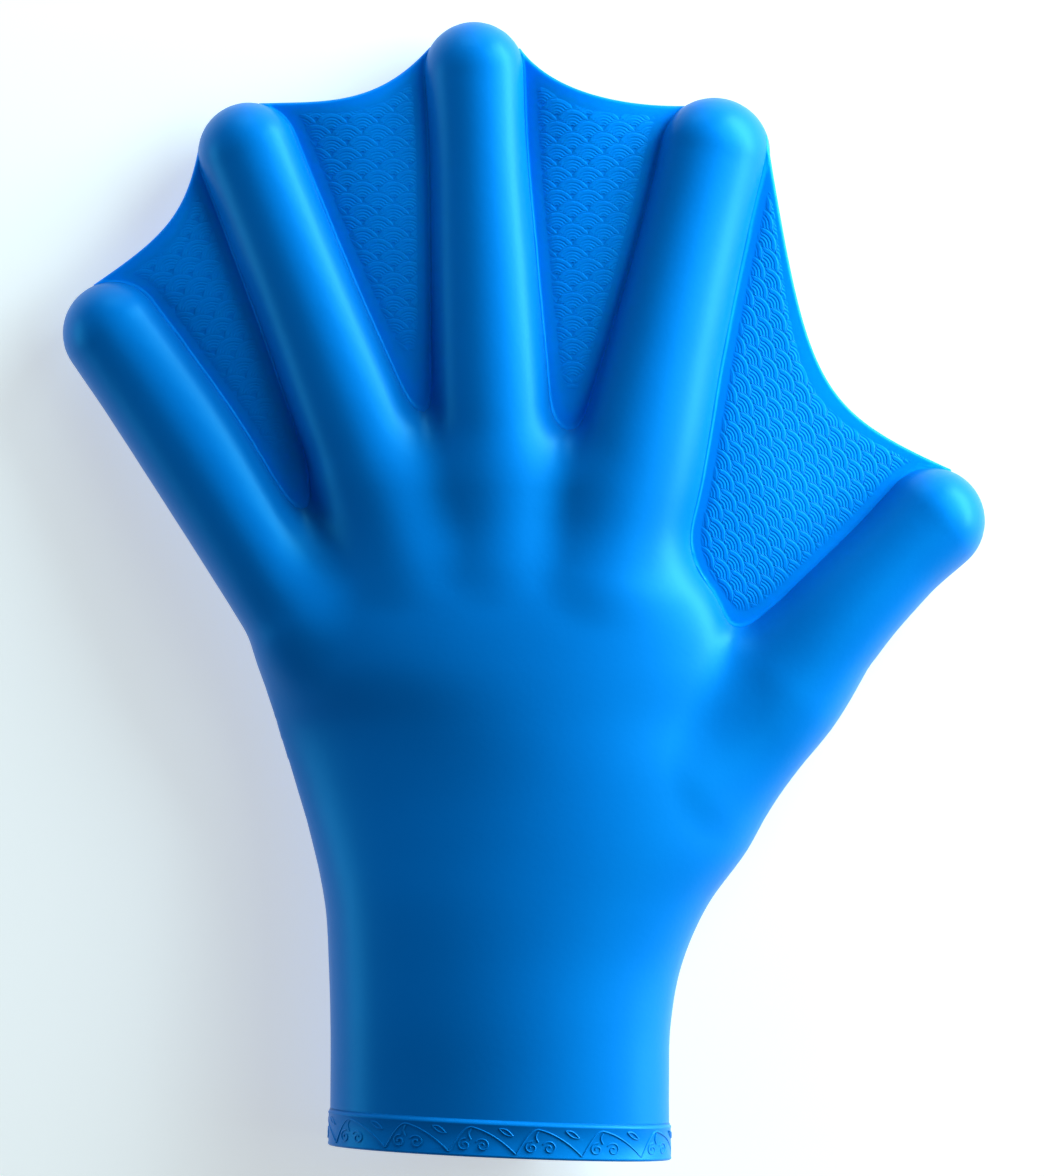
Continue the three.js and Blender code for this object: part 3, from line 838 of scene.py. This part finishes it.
def silicone_material(name, colour, subsurface):
    """Satin moulded silicone with a faint cloudiness and a fine grain"""
    material = bpy.data.materials.new(name)
    material.use_nodes = True
    tree = material.node_tree
    tree.nodes.clear()
    place = add_node(tree, "ShaderNodeTexCoord").outputs["Object"]
    cloud = add_node(tree, "ShaderNodeTexNoise", {"Vector": place, "Scale": 28, "Detail": 3})
    tone = add_node(tree, "ShaderNodeMapRange", {
        "Value": cloud.outputs["Fac"], "To Min": 0.94, "To Max": 1.06})
    tinted = add_node(tree, "ShaderNodeVectorMath", {
        0: colour, "Scale": tone.outputs["Result"]}, operation="SCALE")
    grain = add_node(tree, "ShaderNodeTexNoise", {"Vector": place, "Scale": 900, "Detail": 2})
    bump = add_node(tree, "ShaderNodeBump", {
        "Height": grain.outputs["Fac"], "Strength": 0.05, "Distance": 0.0004})
    shader = add_node(tree, "ShaderNodeBsdfPrincipled", {
        "Base Color": tinted.outputs["Vector"],
        "Normal": bump.outputs["Normal"],
        "Roughness": silicone_finish().roughness,
        "Specular IOR Level": 0.32,
        "Specular Tint": (0.0, 0.7, 1.0, 1.0),
        "Subsurface Weight": subsurface,
        "Subsurface Radius": (0.1, 0.5, 1.0),
        "Subsurface Scale": 0.002,
    })
    add_node(tree, "ShaderNodeOutputMaterial", {"Surface": shader.outputs["BSDF"]})
    return material


def material_for(name):
    found = bpy.data.materials.get(name)
    if found:
        return found
    finish = silicone_finish()
    # The webs take the lighter colour, which holds painted backlight through the thin silicone.
    if name == "Web Silicone":
        return silicone_material(name, finish.web_colour_painted_backlit, 0.15)
    return silicone_material(name, finish.colour, 0.0)


# The skins start this many cells before the cut at the band, and the inner one's cells are this much
# coarser.
CUT_MARGIN = 2.5
INNER_CELL = 1.5


class SWIMGLOVE_OT_shell(bpy.types.Operator):
    """Build the hollow shell: sleeve, palm and five stalls"""

    bl_idname = "swim_glove.shell"
    bl_label = "Glove Shell"

    def execute(self, context):
        form, band = form_sizes(), band_sizes()
        field = GloveField(form)
        start = band.width + band.joint
        before = start - CUT_MARGIN * form.cell
        outer, outer_faces = make_skin(field, 0.0, form.cell, before)
        inner, inner_faces = make_skin(field, form.wall, form.cell * INNER_CELL, before)
        move = home(field, outer)
        points = np.concatenate([outer, inner]) + move
        faces = np.concatenate([outer_faces, inner_faces[:, ::-1] + len(outer)])
        shell = new_object("GloveShell", points, faces)
        inward = field.axes[1]
        plane = move + inward * start
        with mesh_edit(shell) as work:
            bmesh.ops.bisect_plane(
                work, geom=[*work.verts, *work.edges, *work.faces], dist=1e-6,
                plane_co=plane, plane_no=inward, clear_inner=True)
            rims = [edge for edge in work.edges if edge.is_boundary]
            bmesh.ops.bridge_loops(work, edges=rims)
            for face in work.faces:
                face.smooth = True
        shell["home"] = [float(v) for v in move]
        settle_piece(shell, material_for("Silicone"), "silicone", "glove_shell")
        return {"FINISHED"}


def glove_home():
    shell = bpy.data.objects.get("GloveShell")
    if shell is None:
        raise RuntimeError("Build the glove shell first: the other pieces take their place from it")
    return np.array(shell["home"])


def web_surface(field, web, u, v):
    """The middle surface of a web: u runs from one stall to the next, v from the palm to the free edge"""
    first, second = field.stalls[web["from"]], field.stalls[web["to"]]
    start = first.beside_tip(*web["from_end"])
    end = second.beside_tip(*web["to_end"])
    chord = end - start

    def turned(angle, pull):
        turn = math.radians(angle)
        return pull * np.array([
            chord[0] * math.cos(turn) - chord[1] * math.sin(turn),
            chord[0] * math.sin(turn) + chord[1] * math.cos(turn),
            0,
        ])

    leaving = start + turned(-web["leave"], web["leave_pull"])
    arriving = end - turned(web["arrive"], web["arrive_pull"])
    s = u[..., None]
    edge = ((1 - s) ** 3 * start + 3 * s * (1 - s) ** 2 * leaving
            + 3 * s * s * (1 - s) * arriving + s ** 3 * end)
    left = first.centre(first.reach * (1 + web["inset"]) * (1 - v))
    right = second.centre(second.reach * (1 + web["inset"]) * (1 - v))
    edge_shift = edge - (first.centre(0.0) * (1 - s) + second.centre(0.0) * s)
    point = left * (1 - s) + right * s + edge_shift * (v * v)[..., None]
    arch = np.sin(math.pi * u ** (math.log(0.5) / math.log(web["crest"])))
    point[..., 2] += field.form.web_bulge * web["swell"] * arch * np.sin(math.pi / 2 * v)
    return point


def web_limits(field, web, rows, columns):
    """For each row of a web, the places u where it has gone into the walls of its two stalls"""
    root = -field.form.web_root
    u = np.linspace(0, 1, columns)
    v = np.linspace(0, 1, rows)
    grid_u, grid_v = np.meshgrid(u, v)
    gap = field.distance(web_surface(field, web, grid_u, grid_v))

    def crossing(line, a, b):
        if line[a] > root:
            return u[a]
        share = (root - line[a]) / (line[b] - line[a])
        return u[a] + (u[b] - u[a]) * share

    kept = []
    for at, line in zip(v, gap):
        low = high = int(np.argmax(line))
        if line[low] <= root:
            continue
        while low > 0 and line[low] > root:
            low -= 1
        while high < columns - 1 and line[high] > root:
            high += 1
        kept.append((at, crossing(line, low, low + 1), crossing(line, high, high - 1)))
    return np.array(kept)


def ramp(value, low, high):
    share = np.clip((value - low) / (high - low), 0, 1)
    return share * share * (3 - 2 * share)


# Points of a web from the palm to the free edge and from stall to stall, for the search of its limits and
# for its surface, and those round its free edge.
WEB_SEARCH = (601, 401)
WEB_STEPS = (120, 72)
EDGE_STEPS = 7
# How far the points crowd towards the stalls, as a share, and the distances from the free edge over which
# the relief comes in.
WEB_CROWDING = 0.6
EDGE_CLEAR = (0.001, 0.0045)


def make_web(field, name, web, move):
    form = field.form
    limits = web_limits(field, web, *WEB_SEARCH)
    steps_v, steps_u = WEB_STEPS
    v = np.interp(np.linspace(0, 1, steps_v), [0, 1], [limits[0, 0], 1.0])
    low = np.interp(v, limits[:, 0], limits[:, 1])
    high = np.interp(v, limits[:, 0], limits[:, 2])
    spread = (1 - np.cos(np.linspace(0, math.pi, steps_u))) / 2
    spread = WEB_CROWDING * spread + (1 - WEB_CROWDING) * np.linspace(0, 1, steps_u)
    u = low[:, None] + (high - low)[:, None] * spread[None, :]
    middle = web_surface(field, web, u, np.repeat(v[:, None], steps_u, axis=1))
    gap = field.distance(middle)
    fillet = form.web_fillet
    near = np.clip(gap, 0, fillet)
    swell = fillet - np.sqrt(np.maximum(fillet ** 2 - (fillet - near) ** 2, 0))
    half = form.web_thickness / 2
    top = middle + np.array([0, 0, half])
    under = middle - np.array([0, 0, half])
    top[..., 2] += swell
    under[..., 2] -= swell
    along = np.gradient(middle[-1], axis=0)
    outward = np.stack([-along[:, 1], along[:, 0], np.zeros(len(along))], axis=1)
    outward /= np.linalg.norm(outward, axis=1)[:, None]
    rounding = []
    for turn in np.linspace(math.pi / 2, -math.pi / 2, EDGE_STEPS + 2)[1:-1]:
        lift = (half + swell[-1]) * math.sin(turn)
        ring = middle[-1] + outward * half * math.cos(turn)
        ring = ring + np.stack([np.zeros_like(lift), np.zeros_like(lift), lift], axis=1)
        rounding.append(ring)
    profile = np.concatenate([top, np.array(rounding), under[::-1]])
    loops, across = profile.shape[:2]
    faces = net_faces(loops, across, closed_rows=True)
    obj = new_object(name, profile.reshape(-1, 3) + move, faces)
    relief = WEB_RELIEF[name]
    from_edge = np.linalg.norm(middle - middle[-1], axis=2)
    fade = ramp(gap, *relief["clear"]) * ramp(from_edge, *EDGE_CLEAR)
    fades = np.concatenate([fade, np.zeros((loops - len(fade), across))])
    layer = obj.data.attributes.new("relief_fade", "FLOAT", "POINT")
    layer.data.foreach_set("value", fades.reshape(-1))
    with mesh_edit(obj) as work:
        rims = [edge for edge in work.edges if edge.is_boundary]
        bmesh.ops.holes_fill(work, edges=rims)
        bmesh.ops.triangulate(work, faces=[f for f in work.faces if len(f.verts) > 4])
        bmesh.ops.recalc_face_normals(work, faces=work.faces)
        for face in work.faces:
            face.smooth = True
    return obj


# The wave-scale relief of a web: heading of the fans' crests clockwise from +Y, in degrees, pitch along a
# row, step from row to row, radius and height of a fan, and the distances from the stalls' walls over
# which the relief comes in.
WEB_RELIEF = {
    "WebThumbIndex": {
        "heading": 60, "pitch": 0.0082, "step": 0.00172, "radius": 0.004, "height": 1.0,
        "clear": (0.0005, 0.0035),
    },
    "WebIndexMiddle": {
        "heading": 0, "pitch": 0.0068, "step": 0.0025, "radius": 0.0039, "height": 0.75,
        "clear": (0.001, 0.0045),
    },
    "WebMiddleRing": {
        "heading": 0, "pitch": 0.0068, "step": 0.0025, "radius": 0.0039, "height": 0.75,
        "clear": (0.001, 0.0045),
    },
    "WebRingLittle": {
        "heading": -28, "pitch": 0.0068, "step": 0.0025, "radius": 0.0039, "height": 0.6,
        "clear": (0.0005, 0.004),
    },
}
# Rings of a fan from its centre outwards: share of the radius and height of the surface there, in metres.
FAN_RINGS = [
    (0.14, 0.0), (0.21, -0.00004), (0.3, 0.00004), (0.38, -0.00004), (0.47, 0.00004), (0.55, -0.00004),
    (0.64, 0.00004), (0.72, -0.00004), (0.79, 0.00005), (0.93, 0.00005), (1.0, -0.00005),
]
FAN_SECTORS = 8

WEB_PIECES = {
    "web_thumb_index": "WebThumbIndex",
    "web_index_middle": "WebIndexMiddle",
    "web_middle_ring": "WebMiddleRing",
    "web_ring_little": "WebRingLittle",
}


class SWIMGLOVE_OT_webs(bpy.types.Operator):
    """Build the four thin webs between the stalls"""

    bl_idname = "swim_glove.webs"
    bl_label = "Webs"

    def execute(self, context):
        field = GloveField(form_sizes())
        move = glove_home()
        for node, web in WEBS.items():
            obj = make_web(field, WEB_PIECES[node], web, move)
            relief = WEB_RELIEF[obj.name]
            fan = make_fan("Fan", relief)
            corners = np.array([corner[:] for corner in obj.bound_box])
            span = np.linalg.norm(corners.max(axis=0) - corners.min(axis=0))
            centre = (corners.max(axis=0) + corners.min(axis=0)) / 2
            apply_tree(obj, wave_scale_tree(), {
                "Fan": fan, "Pitch": relief["pitch"], "Step": relief["step"],
                "Columns": 2 * math.ceil(span / relief["pitch"] / 2) + 1,
                "Rows": 2 * math.ceil(span / relief["step"] / 2) + 1,
                "Turn": -math.radians(relief["heading"]), "Centre": (centre[0], centre[1], 0.0),
                "Sink": RELIEF_SINK, "Material": material_for("Web Silicone"),
            })
            remove_object(fan)
            settle_piece(obj, material_for("Web Silicone"), "web_silicone", node)
        return {"FINISHED"}


def sleeve_points(field, turn, along, proud):
    """Points on the sleeve at angles round it, at a distance from the open end and above its surface"""
    tilt = field.form.cuff_tilt
    x = np.zeros_like(turn)
    for _ in range(4):
        y = along / math.cos(tilt) - x * math.tan(tilt)
        _, left, right, lift, _, top, _ = field.section(y)
        wide, half = (right - left) / 2, (top - lift) / 2
        x = (left + right) / 2 + wide * np.cos(turn)
    normal = np.stack([np.cos(turn) / wide, np.sin(turn) / half], axis=-1)
    normal /= np.linalg.norm(normal, axis=-1)[..., None]
    return np.stack([
        x + normal[..., 0] * proud * math.cos(tilt),
        y - normal[..., 0] * proud * math.sin(tilt),
        lift + half + half * np.sin(turn) + normal[..., 1] * proud,
    ], axis=-1)


# The band's section, in metres: the bevels at the open end, and a low ridge along each edge of the face.
# A ridge's places are measured from the band's edge, and the lip runs out beyond it. The band has this
# many points round it.
BAND_BEVEL = 0.0002
RIDGE_HEIGHT = 0.0001
END_RIDGE = (0.00015, 0.0003, 0.0006, 0.0008)
LIP_RIDGE = (0.0007, 0.0005, 0.0002)
LIP_RUN = 0.0006
BAND_STEPS = 360


class SWIMGLOVE_OT_band(bpy.types.Operator):
    """Build the raised band round the open end"""

    bl_idname = "swim_glove.band"
    bl_label = "Cuff Band"

    def execute(self, context):
        form, band = form_sizes(), band_sizes()
        field = GloveField(form)
        move = glove_home()
        wall, proud, width, joint = form.wall, band.proud, band.width, band.joint
        level = proud * band.face_share
        ridge = level + RIDGE_HEIGHT
        profile = [
            (BAND_BEVEL, -wall), (0.0, BAND_BEVEL - wall), (0.0, level - BAND_BEVEL),
            *zip(END_RIDGE, (level, ridge, ridge, level)),
            *((width - place, lift) for place, lift in zip(LIP_RIDGE, (level, ridge, ridge))),
            (width, level - RIDGE_HEIGHT), (width + LIP_RUN, 0.0),
            (width + joint, 0.0), (width + joint, -wall),
        ]
        turn = np.linspace(0, 2 * math.pi, BAND_STEPS, endpoint=False)
        rings = np.array([sleeve_points(field, turn, along, lift) for along, lift in profile])
        faces = net_faces(*rings.shape[:2], closed_rows=True, closed_columns=True)
        obj = new_object("CuffBand", rings.reshape(-1, 3) + move, faces)
        face_outward(obj)
        middle = sleeve_points(field, turn, width / 2, level) + move
        rim = bpy.data.meshes.new("Rim")
        edges = [(k, (k + 1) % BAND_STEPS) for k in range(BAND_STEPS)]
        rim.from_pydata([tuple(p) for p in middle], edges, [])
        rim_object = bpy.data.objects.new("Rim", rim)
        context.scene.collection.objects.link(rim_object)
        motif = make_motif(band.line_width, band.line_height)
        apply_tree(obj, border_tree(), {
            "Motif": motif, "Rim": rim_object, "Count": band.repeats, "Motif Length": MOTIF_LENGTH,
            "Inward": tuple(field.axes[1]), "Material": material_for("Silicone"),
        })
        remove_object(motif)
        remove_object(rim_object)
        settle_piece(obj, material_for("Silicone"), "silicone", "cuff_band")
        return {"FINISHED"}


# Softboxes round the glove: each one's share of the power, azimuth anticlockwise from +X and elevation in
# degrees, and size in metres. They stand a metre from the point that they face.
SOFTBOXES = table(
    "name share azimuth elevation width height colour",
    ("LowSoftbox", 1.4, 25, 8, 1.1, 0.3, (0.7, 0.95, 1)),
    ("MiddleSoftbox", 0.38, 35, 30, 0.8, 0.4, (0.7, 0.95, 1)),
    ("HighSoftbox", 0.08, 0, 50, 0.6, 0.45, (0.7, 0.95, 1)),
    ("FarSoftbox", 0.12, 95, 15, 0.6, 0.35, (0.7, 0.95, 1)),
    ("FillSoftbox", 0.22, 180, 6, 0.6, 0.3, (0.2, 0.8, 1)),
)
LIGHT_TARGET = (0.0, 0.03, 0.02)
WORLD_STRENGTH = 0.06
FLOOR_ROUGHNESS = 0.9
# Height of the camera's sensor in millimetres, and the camera's place beside the origin in metres.
SENSOR_HEIGHT = 24
CAMERA_SHIFT = (-0.0004, 0.0001)


def area_light(power, name, share, azimuth, elevation, width, height, colour):
    lamp = bpy.data.lights.new(name, "AREA")
    lamp.shape = "RECTANGLE"
    lamp.size = width
    lamp.size_y = height
    lamp.energy = power * share
    lamp.color = colour
    obj = bpy.data.objects.new(name, lamp)
    turn, climb = math.radians(azimuth), math.radians(elevation)
    away = Vector((math.cos(turn) * math.cos(climb), math.sin(turn) * math.cos(climb), math.sin(climb)))
    obj.location = Vector(LIGHT_TARGET) + away
    obj.rotation_euler = away.to_track_quat("Z", "Y").to_euler()
    bpy.context.scene.collection.objects.link(obj)


def plain_material(name, colour, roughness, glow):
    material = bpy.data.materials.new(name)
    material.use_nodes = True
    shader = material.node_tree.nodes["Principled BSDF"]
    shader.inputs["Base Color"].default_value = (*colour, 1)
    shader.inputs["Roughness"].default_value = roughness
    shader.inputs["Emission Color"].default_value = (1, 1, 1, 1)
    shader.inputs["Emission Strength"].default_value = glow
    return material


class SWIMGLOVE_OT_studio(bpy.types.Operator):
    """Set up the pale floor, the softboxes and the camera overhead"""

    bl_idname = "swim_glove.studio"
    bl_label = "Floor, Lights and Camera"

    def execute(self, context):
        scene, studio = context.scene, studio_settings()
        half = studio.floor_size / 2
        corners = [(-half, -half, 0), (half, -half, 0), (half, half, 0), (-half, half, 0)]
        floor = new_object("Floor", corners, [(0, 1, 2, 3)])
        floor.data.materials.append(
            plain_material("Floor", studio.floor_colour, FLOOR_ROUGHNESS, studio.floor_glow))
        for softbox in SOFTBOXES:
            area_light(studio.light_power, **softbox)
        world = bpy.data.worlds.new("Studio")
        world.use_nodes = True
        background = world.node_tree.nodes["Background"]
        background.inputs["Color"].default_value = (1.0, 1.0, 1.0, 1)
        background.inputs["Strength"].default_value = WORLD_STRENGTH
        scene.world = world
        lens = bpy.data.cameras.new("Camera")
        lens.sensor_fit = "VERTICAL"
        lens.sensor_height = SENSOR_HEIGHT
        lens.lens = SENSOR_HEIGHT * studio.camera_distance / studio.view_height
        camera = bpy.data.objects.new("Camera", lens)
        camera.location = (*CAMERA_SHIFT, studio.camera_distance)
        scene.collection.objects.link(camera)
        scene.camera = camera
        scene.view_settings.view_transform = "Standard"
        return {"FINISHED"}


BUILD_ORDER = ("shell", "webs", "band", "studio")


class SWIMGLOVE_PT_panel(bpy.types.Panel):
    """Lists the pieces of the glove"""

    bl_label = "Swim Glove"
    bl_idname = "SWIMGLOVE_PT_panel"
    bl_space_type = "VIEW_3D"
    bl_region_type = "UI"
    bl_category = "Swim Glove"

    def draw(self, context):
        for name in BUILD_ORDER:
            self.layout.operator(f"swim_glove.{name}")


PROPERTIES = {
    "swim_glove_form": SwimGloveForm,
    "swim_glove_band": SwimGloveBand,
    "swim_glove_silicone": SwimGloveSilicone,
    "swim_glove_studio": SwimGloveStudio,
}
CLASSES = (
    *PROPERTIES.values(),
    SWIMGLOVE_OT_shell,
    SWIMGLOVE_OT_webs,
    SWIMGLOVE_OT_band,
    SWIMGLOVE_OT_studio,
    SWIMGLOVE_PT_panel,
)


def register():
    for cls in CLASSES:
        bpy.utils.register_class(cls)
    for name, group in PROPERTIES.items():
        setattr(bpy.types.Scene, name, bpy.props.PointerProperty(type=group))


def unregister():
    for name in PROPERTIES:
        delattr(bpy.types.Scene, name)
    for cls in reversed(CLASSES):
        bpy.utils.unregister_class(cls)


def main():
    register()
    for name in BUILD_ORDER:
        if getattr(bpy.ops.swim_glove, name)() != {"FINISHED"}:
            raise RuntimeError(f"the step {name} didn't finish")


if __name__ == "__main__":
    main()
